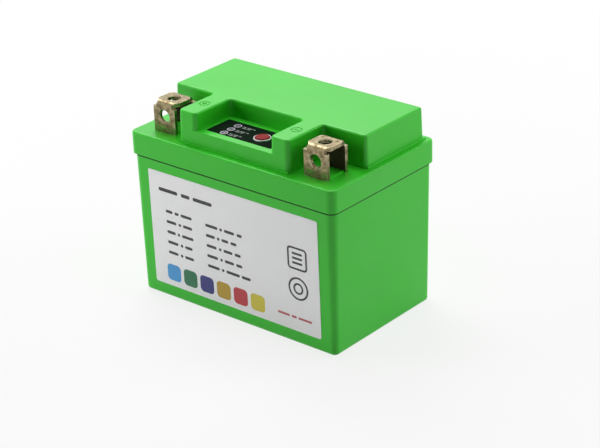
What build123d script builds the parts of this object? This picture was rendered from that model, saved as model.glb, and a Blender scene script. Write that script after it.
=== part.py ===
from build123d import *
import os
from math import atan, cos, degrees, sin

os.makedirs("parts", exist_ok=True)

# Small motorcycle starter battery: four lithium iron phosphate cells in a two-piece plastic shell.
# Frame: +X along the label face, +Y to the back, +Z up, origin at the middle of the base.
# All sizes are in millimetres.

# ---- Driving dimensions: shell ----
lid_length = 114.0
lid_width = 70.5
overall_height = 91.7
block_height = 14.65
skirt_depth = 10.3
lid_wall = 2.0
lid_overhang = 0.95
case_wall = 2.4
case_floor = 2.4
case_draft = 1.0
corner_radius = 3.5
inner_corner_radius = 0.8
base_edge_radius = 1.5
rim_edge_radius = 1.0
seam_gap = 0.9
tongue_clearance = 0.15

# ---- Driving dimensions: raised block, ears and recess ----
block_side_margin = 3.9
block_rear_margin = 4.0
block_front_margin = 4.4
block_draft = 0.5
recess_length = 41.5
recess_drop = 7.8
recess_rear_step = 0.45
ear_width = 9.9
block_corner_radius = 1.4
ear_corner_radius = 2.2
notch_corner_radius = 1.4
recess_corner_radius = 2.2
block_edge_radius = 1.0
sill_edge_radius = 0.8
plinth_width = 0.5
plinth_height = 0.7
plinth_edge_radius = 0.3
mark_radius = 2.5
mark_line = 0.55
mark_depth = 0.35
mark_row_shift = 0.6

# ---- Driving dimensions: terminals ----
terminal_width = 12.4
terminal_depth = 13.8
terminal_sheet = 1.8
terminal_bend_radius = 2.6
terminal_front_setback = 3.05
terminal_rear_gap = 5.95
terminal_ear_share = 0.384
terminal_top_drop = 0.7
terminal_waist = 8.8
terminal_waist_run = 1.2
terminal_flare_run = 2.5
terminal_shoulder_drop = 2.4
terminal_edge_radius = 0.25
terminal_hole_radius = 2.8
terminal_hole_drop = 6.6
terminal_hole_chamfer = 0.45
terminal_countersink_angle = 90.0
tab_width = 8.0
tab_strap_reach = 4.2
tab_slot_clearance = 0.1
seat_pad_height = 0.7
seat_pad_inset = 0.8
seat_pad_clearance = 0.3

# ---- Driving dimensions: indicator panel and test button ----
overlay_thickness = 0.4
overlay_pocket_depth = 0.3
overlay_clearance = 0.1
overlay_end_margin = 2.75
overlay_front_margin = 3.45
overlay_rear_margin = 4.1
overlay_corner_radius = 0.8
indicator_row_shift = -0.8
led_x = -9.7
led_pitch = 4.5
led_count = 3
window_radius = 1.3
window_proud = 0.1
light_pipe_radius = 1.0
light_pipe_clearance = 0.1
button_x = 7.9
button_radius = 3.2
button_clearance = 0.15
button_proud = 0.9
button_travel = 0.4
button_edge_radius = 0.4
button_flange_radius = 4.1
button_flange_thickness = 0.5
button_flange_gap = 0.1
bezel_radius = 3.9
bezel_proud = 0.5
bezel_edge_radius = 0.2
switch_size = 6.0
plunger_radius = 1.7
plunger_proud = 0.6
plunger_depth = 0.7
plunger_clearance = 0.1
indicator_post_length = 3.4
indicator_post_radius = 2.2
indicator_post_x = 16.2
indicator_board_thickness = 1.2
indicator_board_end_gap = 0.5
indicator_headroom = 0.3
led_length = 2.8
led_body_width = 2.0
led_height = 1.2
pipe_led_gap = 0.3

# ---- Driving dimensions: cells and their carriers ----
bottom_pad_thickness = 1.8
busbar_thickness = 0.8
holder_lip = 1.0
holder_height = 10.0
holder_rim = 1.05
holder_corner_radius = 6.0
side_pad_thickness = 2.3
pad_gap = 0.2
cell_gap = 0.8
socket_clearance = 0.15
sleeve_thickness = 0.2
cell_cap_radius = 6.0
cell_cap_height = 0.6
cell_ring_hole_radius = 6.8
cell_groove_depth = 0.6
cell_groove_width = 1.4
cell_groove_drop = 3.2
window_lip = 3.0
weld_radius = 5.5
busbar_end_radius = 8.0
centre_hole_radius = 5.0
lug_width = 6.0
lug_inner_x = 1.2
insulator_thickness = 0.3
insulator_headroom = 0.2
window_margin = 1.5

# ---- Driving dimensions: straps and rivets ----
strap_width = 7.0
strap_inner_x = 3.6
rivet_radius = 1.1
rivet_hole_clearance = 0.1
rivet_head_radius = 1.9
rivet_head_height = 0.9
rivet_tab_margin = 2.1
foam_strap_gap = 0.8

# ---- Driving dimensions: balance board and wiring ----
balance_board_thickness = 1.6
balance_board_end_gap = 11.2
balance_board_side_gap = 2.2
balance_post_length = 3.0
balance_post_radius = 2.6
balance_post_inset = 4.0
screw_radius = 1.1
screw_hole_clearance = 0.25
screw_pilot_clearance = 0.05
screw_head_radius = 2.2
screw_head_height = 1.6
small_screw_radius = 0.9
small_screw_head_radius = 1.8
small_screw_head_height = 1.2
screw_tip_gap = 0.2
cross_width = 0.6
cross_depth = 0.5
header_length = 13.0
header_width = 5.8
header_height = 5.0
header_wall = 0.6
header_base = 0.8
header_edge_gap = 4.6
plug_clearance = 0.1
plug_proud = 1.4
wire_radius = 0.5
wire_bend_radius = 1.0
wire_pitch = 2.5
wire_drop = 1.8
indicator_wire_x = 10.0
indicator_wire_pitch = 1.5
indicator_wire_count = 4
indicator_wire_rise = 1.6
indicator_wire_edge = 1.2
resistor_length = 6.4
resistor_width = 3.2
resistor_height = 0.6
transistor_length = 6.5
transistor_width = 3.5
transistor_height = 1.6
controller_length = 10.0
controller_width = 4.0
controller_height = 1.5
controller_header_gap = 1.0
channel_shares = (-0.34, -0.21, 0.21, 0.34)
row_shares = (0.42, 0.62, 0.8)

# ---- Driving dimensions: label ----
label_thickness = 0.15
label_end_margin = 7.4
label_bottom_margin = 6.2
label_top_margin = 4.6
label_corner_radius = 1.0

# ---- Levels, from the base up ----
rim_z = overall_height - block_height
flat_under_z = rim_z - lid_wall
skirt_z = rim_z - skirt_depth
shoulder_z = skirt_z - seam_gap
roof_z = overall_height - lid_wall
recess_z = overall_height - recess_drop
recess_under_z = recess_z - lid_wall
pocket_z = recess_z - overlay_pocket_depth
pad_top_z = case_floor + bottom_pad_thickness
lower_holder_z = pad_top_z + busbar_thickness
cell_bottom_z = lower_holder_z + holder_lip
indicator_board_top_z = recess_under_z - indicator_post_length
indicator_board_z = indicator_board_top_z - indicator_board_thickness
indicator_lowest_z = indicator_board_z - small_screw_head_height
insulator_top_z = min(flat_under_z - insulator_headroom, indicator_lowest_z - indicator_headroom)
insulator_z = insulator_top_z - insulator_thickness
upper_holder_top_z = insulator_z - busbar_thickness
upper_holder_z = upper_holder_top_z - holder_height
cell_top_z = upper_holder_top_z - holder_lip
tab_bottom_z = upper_holder_top_z - tab_strap_reach
foam_top_z = tab_bottom_z - foam_strap_gap

# ---- Places on the shell ----
case_base_length = lid_length - 2 * (lid_overhang + case_draft)
case_base_width = lid_width - 2 * (lid_overhang + case_draft)
draft_tilt = atan(case_draft / shoulder_z)
block_tilt = atan(block_draft / block_height)
inner_length = case_base_length - 2 * case_wall
inner_width = case_base_width - 2 * case_wall
lid_inner_length = lid_length - 2 * lid_wall
lid_inner_width = lid_width - 2 * lid_wall

block_x = lid_length / 2 - block_side_margin
block_front_y = -lid_width / 2 + block_front_margin
block_rear_y = lid_width / 2 - block_rear_margin
ear_inner_x = recess_length / 2
ear_outer_x = ear_inner_x + ear_width
bay_rear_y = block_front_y + terminal_front_setback + terminal_depth + terminal_rear_gap
recess_rear_y = bay_rear_y - recess_rear_step

terminal_free_length = lid_length / 2 - ear_outer_x - terminal_width
terminal_x = ear_outer_x + terminal_ear_share * terminal_free_length + terminal_width / 2
terminal_front_y = block_front_y + terminal_front_setback
terminal_rear_y = terminal_front_y + terminal_depth
terminal_y = (terminal_front_y + terminal_rear_y) / 2
terminal_top_z = overall_height - terminal_top_drop
terminal_hole_z = terminal_top_z - terminal_hole_drop

overlay_length = recess_length - 2 * overlay_end_margin
overlay_front_y = block_front_y + overlay_front_margin
overlay_rear_y = recess_rear_y - overlay_rear_margin
overlay_width = overlay_rear_y - overlay_front_y
overlay_y = (overlay_front_y + overlay_rear_y) / 2
indicator_y = overlay_y + indicator_row_shift
mark_x = (ear_inner_x + ear_outer_x) / 2
mark_y = overlay_y + mark_row_shift
overlay_top_z = pocket_z + overlay_thickness
button_top_z = overlay_top_z + button_proud
flange_top_z = recess_under_z - button_flange_gap
button_bottom_z = flange_top_z - button_flange_thickness
switch_top_z = button_bottom_z - plunger_proud

holder_half = inner_width / 2 - side_pad_thickness - 2 * pad_gap
sleeve_radius = (holder_half - cell_gap / 2 - socket_clearance - holder_rim) / 2
cell_radius = sleeve_radius - sleeve_thickness
cell_pitch = 2 * sleeve_radius + cell_gap
cell_offset = cell_pitch / 2
cell_length = cell_top_z - cell_bottom_z
weld_window_radius = cell_radius - window_lip

strap_rear_y = terminal_rear_y + strap_width
strap_tap_y = (terminal_rear_y + strap_rear_y) / 2
rivet_z = tab_bottom_z + rivet_tab_margin

balance_board_length = 2 * (block_x - lid_wall - balance_board_end_gap)
balance_board_front_y = bay_rear_y + lid_wall + balance_board_side_gap
balance_board_rear_y = block_rear_y - lid_wall - balance_board_side_gap
balance_board_width = balance_board_rear_y - balance_board_front_y
balance_board_y = (balance_board_front_y + balance_board_rear_y) / 2
balance_board_top_z = roof_z - balance_post_length
balance_board_z = balance_board_top_z - balance_board_thickness
header_y = balance_board_front_y + header_edge_gap + header_width / 2
header_z = balance_board_z - header_height
plug_z = header_z - plug_proud
balance_post_x = balance_board_length / 2 - balance_post_inset
balance_post_front_y = balance_board_front_y + balance_post_inset
balance_post_rear_y = balance_board_rear_y - balance_post_inset
middle_tap_y = cell_offset - busbar_end_radius + lug_inner_x + wire_radius

led_places = [
    (led_x, indicator_y + led_pitch * (index - (led_count - 1) / 2)) for index in range(led_count)
]
cell_places = [
    (-cell_offset, -cell_offset),
    (-cell_offset, cell_offset),
    (cell_offset, cell_offset),
    (cell_offset, -cell_offset),
]
indicator_post_places = [(-indicator_post_x, overlay_y), (indicator_post_x, overlay_y)]
balance_post_places = [
    (x, y)
    for x in (-balance_post_x, balance_post_x)
    for y in (balance_post_front_y, balance_post_rear_y)
]


def write(piece, name):
    """Label a finished piece and write its STEP file."""
    piece.label = name
    export_step(piece, f"parts/{name}.step")


def inner_size_at(size, z):
    """Inside length or width of the drafted case at height z."""
    return size + 2 * case_draft * z / shoulder_z


def block_outline(growth=0.0):
    """Rear bar with the full-width tongue in front of it, grown outwards by growth."""
    points = [
        (block_x, block_rear_y),
        (-block_x, block_rear_y),
        (-block_x, bay_rear_y),
        (-ear_outer_x, bay_rear_y),
        (-ear_outer_x, block_front_y),
        (ear_outer_x, block_front_y),
        (ear_outer_x, bay_rear_y),
        (block_x, bay_rear_y),
    ]
    outer = block_corner_radius
    ear = ear_corner_radius
    notch = notch_corner_radius
    with BuildSketch(mode=Mode.PRIVATE) as outline:
        with BuildLine():
            FilletPolyline(*points, radius=[outer, outer, outer, notch, ear, ear, notch, outer], close=True)
        make_face()
        if growth:
            offset(amount=growth)
    return outline.sketch


def ears_outline(growth=0.0):
    """Rear bar with the two ears in front of it, which leaves the recess between them open."""
    points = [
        (block_x, block_rear_y),
        (-block_x, block_rear_y),
        (-block_x, bay_rear_y),
        (-ear_outer_x, bay_rear_y),
        (-ear_outer_x, block_front_y),
        (-ear_inner_x, block_front_y),
        (-ear_inner_x, recess_rear_y),
        (ear_inner_x, recess_rear_y),
        (ear_inner_x, block_front_y),
        (ear_outer_x, block_front_y),
        (ear_outer_x, bay_rear_y),
        (block_x, bay_rear_y),
    ]
    outer = block_corner_radius
    ear = ear_corner_radius
    notch = notch_corner_radius
    recess = recess_corner_radius
    radii = [outer, outer, outer, notch, ear, ear, recess, recess, ear, ear, notch, outer]
    with BuildSketch(mode=Mode.PRIVATE) as outline:
        with BuildLine():
            FilletPolyline(*points, radius=radii, close=True)
        make_face()
        if growth:
            offset(amount=growth)
    return outline.sketch


def plinth_outline():
    """Outer sides of the block's foot grown by the plinth, level with the block's top in the bays."""
    growth = block_draft + plinth_width
    side_x = block_x + growth
    front_y = block_front_y - growth
    rear_y = block_rear_y + growth
    points = [
        (side_x, rear_y),
        (-side_x, rear_y),
        (-side_x, bay_rear_y),
        (-ear_outer_x, bay_rear_y),
        (-ear_outer_x, front_y),
        (ear_outer_x, front_y),
        (ear_outer_x, bay_rear_y),
        (side_x, bay_rear_y),
    ]
    with BuildSketch(mode=Mode.PRIVATE) as outline:
        with BuildLine():
            Polyline(*points, close=True)
        make_face()
    return outline.sketch


def raised(sketch, z):
    """The same flat outline at height z."""
    return Pos(0, 0, z) * sketch


# ---- Case ----
with BuildPart() as case:
    with BuildSketch():
        RectangleRounded(case_base_length, case_base_width, corner_radius - case_draft)
    extrude(amount=shoulder_z, taper=-degrees(draft_tilt))
    fillet(case.faces().sort_by(Axis.Z)[0].edges(), base_edge_radius)
    with BuildSketch(Plane.XY.offset(shoulder_z)):
        RectangleRounded(
            lid_inner_length - 2 * tongue_clearance,
            lid_inner_width - 2 * tongue_clearance,
            inner_corner_radius,
        )
    extrude(amount=flat_under_z - shoulder_z)
    with BuildSketch(Plane.XY.offset(case_floor)):
        RectangleRounded(
            inner_size_at(inner_length, case_floor),
            inner_size_at(inner_width, case_floor),
            inner_corner_radius,
        )
    extrude(amount=flat_under_z - case_floor, taper=-degrees(draft_tilt), mode=Mode.SUBTRACT)
write(case.part, "case")

# ---- Lid ----
with BuildPart() as lid_hollow:
    with BuildSketch(Plane.XY.offset(skirt_z)):
        RectangleRounded(lid_inner_length, lid_inner_width, inner_corner_radius)
    extrude(amount=flat_under_z - skirt_z)
    extrude(raised(block_outline(-lid_wall), flat_under_z), amount=recess_under_z - flat_under_z)
    extrude(raised(ears_outline(-lid_wall), recess_under_z), amount=roof_z - recess_under_z)

with BuildPart() as lid:
    # Flat of the lid and its skirt
    with BuildSketch(Plane.XY.offset(skirt_z)):
        RectangleRounded(lid_length, lid_width, corner_radius)
    extrude(amount=skirt_depth)
    fillet(lid.faces().sort_by(Axis.Z)[-1].edges(), rim_edge_radius)
    # Low plinth round the outer foot of the block
    extrude(raised(plinth_outline(), flat_under_z), amount=lid_wall + plinth_height)
    fillet(lid.faces().sort_by(Axis.Z)[-1].edges(), plinth_edge_radius)
    # Block up to the recess floor with a rounded sill, then the rear bar and the ears to the top
    extrude(raised(block_outline(block_draft), rim_z), amount=recess_z - rim_z, taper=degrees(block_tilt))
    fillet(lid.faces().sort_by(Axis.Z)[-1].edges(), sill_edge_radius)
    extrude(raised(ears_outline(block_draft), rim_z), amount=block_height, taper=degrees(block_tilt))
    fillet(lid.faces().sort_by(Axis.Z)[-1].edges(), block_edge_radius)
    add(lid_hollow.part, mode=Mode.SUBTRACT)
    # Low seat pads between the legs of each terminal
    with BuildSketch(Plane.XY.offset(rim_z)):
        with Locations((-terminal_x, terminal_y), (terminal_x, terminal_y)):
            Rectangle(
                terminal_width - 2 * seat_pad_inset,
                terminal_depth - 2 * (terminal_sheet + seat_pad_clearance),
            )
    extrude(amount=seat_pad_height)
    # Slots that the terminals' tabs pass through
    with BuildSketch(Plane.XY.offset(flat_under_z)):
        with Locations(
            (-terminal_x, terminal_front_y + terminal_sheet / 2),
            (-terminal_x, terminal_rear_y - terminal_sheet / 2),
            (terminal_x, terminal_front_y + terminal_sheet / 2),
            (terminal_x, terminal_rear_y - terminal_sheet / 2),
        ):
            Rectangle(tab_width + 2 * tab_slot_clearance, terminal_sheet + 2 * tab_slot_clearance)
    extrude(amount=lid_wall, mode=Mode.SUBTRACT)
    # Pocket for the overlay, with the light pipe holes and the button hole in its floor
    with BuildSketch(Plane.XY.offset(pocket_z)):
        with Locations((0, overlay_y)):
            RectangleRounded(
                overlay_length + 2 * overlay_clearance,
                overlay_width + 2 * overlay_clearance,
                overlay_corner_radius + overlay_clearance,
            )
    extrude(amount=overlay_pocket_depth, mode=Mode.SUBTRACT)
    with BuildSketch(Plane.XY.offset(recess_under_z)):
        with Locations(*led_places):
            Circle(light_pipe_radius + light_pipe_clearance)
        with Locations((button_x, indicator_y)):
            Circle(button_radius + button_clearance)
    extrude(amount=lid_wall, mode=Mode.SUBTRACT)
    # Posts for the indicator board and the balance board, with their pilot holes
    with BuildSketch(Plane.XY.offset(indicator_board_top_z)):
        with Locations(*indicator_post_places):
            Circle(indicator_post_radius)
            Circle(small_screw_radius + screw_pilot_clearance, mode=Mode.SUBTRACT)
    extrude(amount=indicator_post_length)
    with BuildSketch(Plane.XY.offset(balance_board_top_z)):
        with Locations(*balance_post_places):
            Circle(balance_post_radius)
            Circle(screw_radius + screw_pilot_clearance, mode=Mode.SUBTRACT)
    extrude(amount=balance_post_length)
    # Polarity marks sunk in the ears: plus on the left, minus on the right
    with BuildSketch(Plane.XY.offset(overall_height - mark_depth)):
        with Locations((-mark_x, mark_y), (mark_x, mark_y)):
            Circle(mark_radius)
            Circle(mark_radius - mark_line, mode=Mode.SUBTRACT)
            Rectangle(mark_radius, mark_line)
        with Locations((-mark_x, mark_y)):
            Rectangle(mark_line, mark_radius)
    extrude(amount=mark_depth, mode=Mode.SUBTRACT)
write(lid.part, "lid")

# ---- Terminals ----
def terminal(side):
    """Bent sheet terminal: two legs, a top plate narrowed at both bends, and a tab under each leg."""
    x = side * terminal_x
    outer_radius = terminal_bend_radius
    inner_radius = terminal_bend_radius - terminal_sheet
    with BuildPart() as piece:
        with BuildSketch(Plane.YZ.offset(x - terminal_width / 2)):
            with BuildLine():
                FilletPolyline(
                    (terminal_front_y, rim_z),
                    (terminal_front_y, terminal_top_z),
                    (terminal_rear_y, terminal_top_z),
                    (terminal_rear_y, rim_z),
                    (terminal_rear_y - terminal_sheet, rim_z),
                    (terminal_rear_y - terminal_sheet, terminal_top_z - terminal_sheet),
                    (terminal_front_y + terminal_sheet, terminal_top_z - terminal_sheet),
                    (terminal_front_y + terminal_sheet, rim_z),
                    radius=[0, outer_radius, outer_radius, 0, 0, inner_radius, inner_radius, 0],
                    close=True,
                )
            make_face()
        extrude(amount=terminal_width)
        fillet(
            piece.faces().sort_by(Axis.X)[0].edges() + piece.faces().sort_by(Axis.X)[-1].edges(),
            terminal_edge_radius,
        )
        # The four corners are cut away above the shoulders
        half = terminal_width / 2
        waist = terminal_waist / 2
        flare_start = terminal_depth / 2 - terminal_waist_run
        flare_end = flare_start - terminal_flare_run
        with BuildSketch(Plane.XY.offset(terminal_top_z - terminal_shoulder_drop)):
            with Locations((x, terminal_y)):
                corner = [
                    (waist, terminal_depth / 2),
                    (waist, flare_start),
                    (half, flare_end),
                    (half + terminal_sheet, flare_end),
                    (half + terminal_sheet, terminal_depth / 2 + terminal_sheet),
                    (waist, terminal_depth / 2 + terminal_sheet),
                ]
                for mirror_x in (-1, 1):
                    for mirror_y in (-1, 1):
                        Polygon(*[(mirror_x * px, mirror_y * py) for px, py in corner], align=None)
        extrude(amount=terminal_shoulder_drop, mode=Mode.SUBTRACT)
        # Bolt holes in the front leg and in the top plate, chamfered on the outside
        with Locations(Plane((x, terminal_front_y, terminal_hole_z), z_dir=(0, -1, 0))):
            CounterSinkHole(
                terminal_hole_radius,
                terminal_hole_radius + terminal_hole_chamfer,
                depth=terminal_sheet,
                counter_sink_angle=terminal_countersink_angle,
            )
        with Locations(Plane((x, terminal_y, terminal_top_z))):
            CounterSinkHole(
                terminal_hole_radius,
                terminal_hole_radius + terminal_hole_chamfer,
                depth=terminal_sheet,
                counter_sink_angle=terminal_countersink_angle,
            )
        # Tabs below the flat of the lid, and the rivet hole in the rear one
        with BuildSketch(Plane.XY.offset(rim_z)):
            with Locations(
                (x, terminal_front_y + terminal_sheet / 2),
                (x, terminal_rear_y - terminal_sheet / 2),
            ):
                Rectangle(tab_width, terminal_sheet)
        extrude(amount=-(rim_z - tab_bottom_z))
        with Locations(Plane((x, terminal_rear_y, rivet_z), z_dir=(0, 1, 0))):
            Hole(rivet_radius + rivet_hole_clearance, depth=terminal_sheet)
    return piece.part


write(terminal(-1), "positive_terminal")
write(terminal(1), "negative_terminal")

# ---- Indicator overlay, windows, bezel and test button ----
with BuildPart() as indicator_overlay:
    with BuildSketch(Plane.XY.offset(pocket_z)):
        with Locations((0, overlay_y)):
            RectangleRounded(overlay_length, overlay_width, overlay_corner_radius)
        with Locations(*led_places):
            Circle(window_radius + overlay_clearance, mode=Mode.SUBTRACT)
        with Locations((button_x, indicator_y)):
            Circle(bezel_radius + overlay_clearance, mode=Mode.SUBTRACT)
    extrude(amount=overlay_thickness)
write(indicator_overlay.part, "indicator_overlay")

led_top_z = indicator_board_top_z + led_height
with BuildPart() as light_pipes:
    with BuildSketch(Plane.XY.offset(pocket_z)):
        with Locations(*led_places):
            Circle(window_radius)
    extrude(amount=overlay_thickness + window_proud)
    with BuildSketch(Plane.XY.offset(led_top_z + pipe_led_gap)):
        with Locations(*led_places):
            Circle(light_pipe_radius)
    extrude(amount=pocket_z - led_top_z - pipe_led_gap)
write(light_pipes.part, "light_pipes")

with BuildPart() as button_bezel:
    with BuildSketch(Plane.XY.offset(pocket_z)):
        with Locations((button_x, indicator_y)):
            Circle(bezel_radius)
            Circle(button_radius + button_clearance, mode=Mode.SUBTRACT)
    extrude(amount=overlay_thickness + bezel_proud)
    fillet(button_bezel.faces().sort_by(Axis.Z)[-1].edges(), bezel_edge_radius)
write(button_bezel.part, "button_bezel")

with BuildPart() as test_button:
    with BuildSketch(Plane.XY.offset(button_bottom_z)):
        with Locations((button_x, indicator_y)):
            Circle(button_flange_radius)
    extrude(amount=button_flange_thickness)
    with BuildSketch(Plane.XY.offset(flange_top_z)):
        with Locations((button_x, indicator_y)):
            Circle(button_radius)
    extrude(amount=button_top_z - flange_top_z)
    fillet(test_button.faces().sort_by(Axis.Z)[-1].edges(), button_edge_radius)
write(test_button.part, "test_button")

with BuildPart() as switch_plunger:
    with BuildSketch(Plane.XY.offset(switch_top_z - plunger_depth)):
        with Locations((button_x, indicator_y)):
            Circle(plunger_radius)
    extrude(amount=plunger_depth + plunger_proud)
write(switch_plunger.part, "switch_plunger")

with BuildPart() as tact_switch:
    with BuildSketch(Plane.XY.offset(indicator_board_top_z)):
        with Locations((button_x, indicator_y)):
            Rectangle(switch_size, switch_size)
    extrude(amount=switch_top_z - indicator_board_top_z)
    with Locations((button_x, indicator_y, switch_top_z)):
        Hole(plunger_radius + plunger_clearance, depth=plunger_depth + button_travel + plunger_clearance)
write(tact_switch.part, "tact_switch")

# ---- Indicator board, its lamps and screws ----
with BuildPart() as indicator_board:
    with BuildSketch(Plane.XY.offset(indicator_board_z)):
        with Locations((0, overlay_y)):
            Rectangle(overlay_length - 2 * indicator_board_end_gap, overlay_width)
        with Locations(*indicator_post_places):
            Circle(small_screw_radius + screw_hole_clearance, mode=Mode.SUBTRACT)
    extrude(amount=indicator_board_thickness)
write(indicator_board.part, "indicator_board")

with BuildPart() as indicator_leds:
    with BuildSketch(Plane.XY.offset(indicator_board_top_z)):
        with Locations(*led_places):
            Rectangle(led_length, led_body_width)
    extrude(amount=led_height)
write(indicator_leds.part, "indicator_leds")


def board_screws(places, board_z, tip_z, radius, head_radius, head_height):
    """Pan-head screws driven upwards through a board into the lid's posts."""
    with BuildPart() as screws:
        with BuildSketch(Plane.XY.offset(board_z - head_height)):
            with Locations(*places):
                Circle(head_radius)
        extrude(amount=head_height)
        with BuildSketch(Plane.XY.offset(board_z)):
            with Locations(*places):
                Circle(radius)
        extrude(amount=tip_z - board_z)
        with BuildSketch(Plane.XY.offset(board_z - head_height)):
            with Locations(*places):
                Rectangle(head_radius, cross_width)
                Rectangle(cross_width, head_radius)
        extrude(amount=cross_depth, mode=Mode.SUBTRACT)
    return screws.part


write(
    board_screws(
        indicator_post_places,
        indicator_board_z,
        recess_under_z - screw_tip_gap,
        small_screw_radius,
        small_screw_head_radius,
        small_screw_head_height,
    ),
    "indicator_screws",
)
write(
    board_screws(
        balance_post_places,
        balance_board_z,
        roof_z - screw_tip_gap,
        screw_radius,
        screw_head_radius,
        screw_head_height,
    ),
    "balance_board_screws",
)

# ---- Balance board and what it carries ----
with BuildPart() as balance_board:
    with BuildSketch(Plane.XY.offset(balance_board_z)):
        with Locations((0, balance_board_y)):
            Rectangle(balance_board_length, balance_board_width)
        with Locations(*balance_post_places):
            Circle(screw_radius + screw_hole_clearance, mode=Mode.SUBTRACT)
    extrude(amount=balance_board_thickness)
write(balance_board.part, "balance_board")

channel_xs = [share * balance_board_length for share in channel_shares]
transistor_y, first_resistor_y, second_resistor_y = [
    balance_board_front_y + share * balance_board_width for share in row_shares
]

with BuildPart() as balance_transistors:
    with BuildSketch(Plane.XY.offset(balance_board_z)):
        with Locations(*[(x, transistor_y) for x in channel_xs]):
            Rectangle(transistor_length, transistor_width)
    extrude(amount=-transistor_height)
write(balance_transistors.part, "balance_transistors")

with BuildPart() as bleed_resistors:
    with BuildSketch(Plane.XY.offset(balance_board_z)):
        with Locations(*[(x, y) for x in channel_xs for y in (first_resistor_y, second_resistor_y)]):
            Rectangle(resistor_length, resistor_width)
    extrude(amount=-resistor_height)
write(bleed_resistors.part, "bleed_resistors")

header_rear_y = header_y + header_width / 2
controller_y = max(first_resistor_y, header_rear_y + controller_header_gap + controller_width / 2)
with BuildPart() as balance_controller:
    with BuildSketch(Plane.XY.offset(balance_board_z)):
        with Locations((0, controller_y)):
            Rectangle(controller_length, controller_width)
    extrude(amount=-controller_height)
write(balance_controller.part, "balance_controller")

with BuildPart() as balance_header:
    with BuildSketch(Plane.XY.offset(header_z)):
        with Locations((0, header_y)):
            Rectangle(header_length, header_width)
    extrude(amount=header_height)
    with BuildSketch(Plane.XY.offset(header_z)):
        with Locations((0, header_y)):
            Rectangle(header_length - 2 * header_wall, header_width - 2 * header_wall)
    extrude(amount=header_height - header_base, mode=Mode.SUBTRACT)
write(balance_header.part, "balance_header")

with BuildPart() as balance_plug:
    with BuildSketch(Plane.XY.offset(plug_z)):
        with Locations((0, header_y)):
            Rectangle(
                header_length - 2 * (header_wall + plug_clearance),
                header_width - 2 * (header_wall + plug_clearance),
            )
    extrude(amount=balance_board_z - header_base - plug_z)
write(balance_plug.part, "balance_plug")


# ---- Cells: two stand with the positive end up and two with it down ----
def cell_profile_points():
    """Half section of the can from its flat negative end to the positive cap."""
    groove_top = cell_length - cell_cap_height - cell_groove_drop
    return [
        (0, 0),
        (cell_radius, 0),
        (cell_radius, groove_top - cell_groove_width),
        (cell_radius - cell_groove_depth, groove_top - cell_groove_width / 2),
        (cell_radius, groove_top),
        (cell_radius, cell_length - cell_cap_height),
        (cell_cap_radius, cell_length - cell_cap_height),
        (cell_cap_radius, cell_length),
        (0, cell_length),
    ]


for number, (x, y) in enumerate(cell_places, start=1):
    positive_up = number % 2 == 1
    if positive_up:
        cell_frame = Plane((x, y, cell_bottom_z))
    else:
        cell_frame = Plane((x, y, cell_top_z), x_dir=(1, 0, 0), z_dir=(0, 0, -1))
    with BuildPart() as cell:
        with BuildSketch(Plane(cell_frame.origin, x_dir=cell_frame.x_dir, z_dir=-cell_frame.y_dir)):
            with BuildLine():
                Polyline(*cell_profile_points(), close=True)
            make_face()
        revolve(axis=Axis(cell_frame.origin, cell_frame.z_dir))
    write(cell.part, f"cell_{number}")

with BuildPart() as cell_sleeves:
    with BuildSketch(Plane.XY.offset(cell_bottom_z)):
        with Locations(*cell_places):
            Circle(sleeve_radius)
            Circle(cell_radius, mode=Mode.SUBTRACT)
    extrude(amount=cell_length)
write(cell_sleeves.part, "cell_sleeves")

# An insulating ring lies round the positive cap of each cell
with BuildPart() as cell_rings:
    for ring_z, places in (
        (cell_top_z - cell_cap_height, cell_places[0::2]),
        (cell_bottom_z, cell_places[1::2]),
    ):
        with BuildSketch(Plane.XY.offset(ring_z)):
            with Locations(*places):
                Circle(cell_radius)
                Circle(cell_ring_hole_radius, mode=Mode.SUBTRACT)
        extrude(amount=cell_cap_height)
write(cell_rings.part, "cell_rings")


def cell_holder(base_z, socket_z):
    """Square carrier with four sockets from socket_z; the lip beyond them has a window at each cell."""
    with BuildPart() as holder:
        with BuildSketch(Plane.XY.offset(base_z)):
            RectangleRounded(2 * holder_half, 2 * holder_half, holder_corner_radius)
            Circle(centre_hole_radius, mode=Mode.SUBTRACT)
            with Locations(*cell_places):
                Circle(weld_window_radius, mode=Mode.SUBTRACT)
        extrude(amount=holder_height)
        with BuildSketch(Plane.XY.offset(socket_z)):
            with Locations(*cell_places):
                Circle(sleeve_radius + socket_clearance)
        extrude(amount=holder_height - holder_lip, mode=Mode.SUBTRACT)
    return holder.part


write(cell_holder(lower_holder_z, cell_bottom_z), "lower_cell_holder")
write(cell_holder(upper_holder_z, upper_holder_z), "upper_cell_holder")

# ---- Busbars: the two lower ones join a front cell to the rear cell behind it ----
for side, name in ((-1, "left_lower_busbar"), (1, "right_lower_busbar")):
    with BuildPart() as busbar:
        with BuildSketch(Plane.XY.offset(pad_top_z)):
            with Locations((side * cell_offset, 0)):
                SlotCenterToCenter(cell_pitch, 2 * busbar_end_radius, rotation=90)
            with Locations((side * (cell_offset + lug_inner_x) / 2, 0)):
                Rectangle(cell_offset - lug_inner_x, lug_width)
        extrude(amount=busbar_thickness)
        with BuildSketch(Plane.XY.offset(lower_holder_z)):
            with Locations((side * cell_offset, -cell_offset), (side * cell_offset, cell_offset)):
                Circle(weld_radius)
        extrude(amount=holder_lip)
    write(busbar.part, name)

# The upper one joins the two rear cells
with BuildPart() as upper_busbar:
    with BuildSketch(Plane.XY.offset(upper_holder_top_z)):
        with Locations((0, cell_offset)):
            SlotCenterToCenter(cell_pitch, 2 * busbar_end_radius)
    extrude(amount=busbar_thickness)
    with BuildSketch(Plane.XY.offset(cell_top_z)):
        with Locations((-cell_offset, cell_offset), (cell_offset, cell_offset)):
            Circle(weld_radius)
    extrude(amount=holder_lip)
write(upper_busbar.part, "upper_busbar")


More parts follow.
